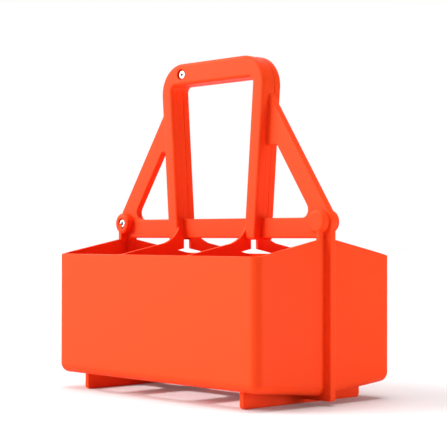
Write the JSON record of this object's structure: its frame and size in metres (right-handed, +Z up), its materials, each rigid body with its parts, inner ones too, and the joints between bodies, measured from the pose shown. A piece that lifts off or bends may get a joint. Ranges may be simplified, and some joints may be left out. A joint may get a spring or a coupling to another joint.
{
  "type": "bottle carrier",
  "caption": "Moulded plastic bottle carrier: open baskets with gabled dividers, screwed to a braced centre frame whose tall loop handle they share.",
  "frame": {"origin": "centre of the footprint, on the ground under the feet", "axes": "+X along the basket's length, +Y across it towards the rear half, +Z up"},
  "size_m": [0.3324, 0.192, 0.3512],
  "materials": {
    "basket_plastic": "satin",
    "frame_plastic": "satin",
    "screw_steel": "satin"
  },
  "bodies": {
    "root": {"front_basket": "basket_plastic", "rear_basket": "basket_plastic", "centre_frame": "frame_plastic", "front_end_screw": "screw_steel", "rear_end_screw": "screw_steel", "front_handle_screw": "screw_steel", "rear_handle_screw": "screw_steel"}
  },
  "joints": []
}
